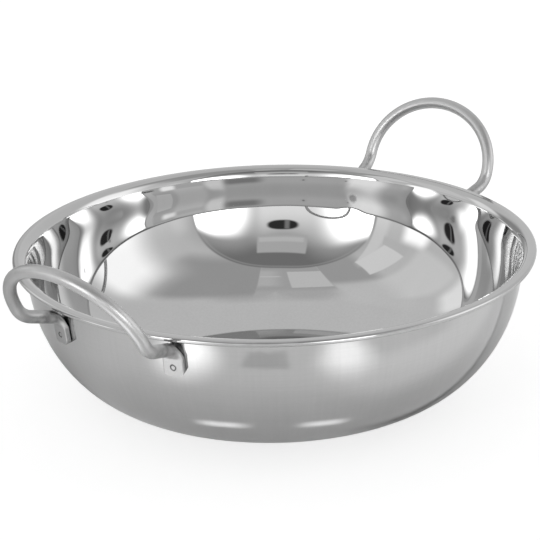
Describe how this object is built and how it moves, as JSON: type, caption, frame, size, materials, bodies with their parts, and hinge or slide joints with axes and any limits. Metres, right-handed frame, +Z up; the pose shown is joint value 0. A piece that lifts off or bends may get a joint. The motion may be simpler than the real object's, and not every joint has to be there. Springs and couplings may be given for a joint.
{
  "type": "kadai",
  "caption": "Round stainless steel kadai with a small flat base, curved wall, rolled edge and a spot-welded loop of bent wire on each side for lifting.",
  "frame": {"origin": "centre of the flat base's underside, on the hob", "axes": "+Z up; +X from the bowl's axis through the middle of one handle, so the handles stand on +X and -X"},
  "size_m": [0.2611, 0.21, 0.0953],
  "materials": {
    "bowl_sheet": "mirror polished inside, softer polish outside",
    "handle_wire": "bright drawn wire",
    "weld_metal": "dull fused steel"
  },
  "bodies": {
    "root": {"bowl": "bowl_sheet", "handle_right": "handle_wire", "handle_left": "handle_wire", "weld_right_back": "weld_metal", "weld_right_front": "weld_metal", "weld_left_back": "weld_metal", "weld_left_front": "weld_metal"}
  },
  "joints": []
}
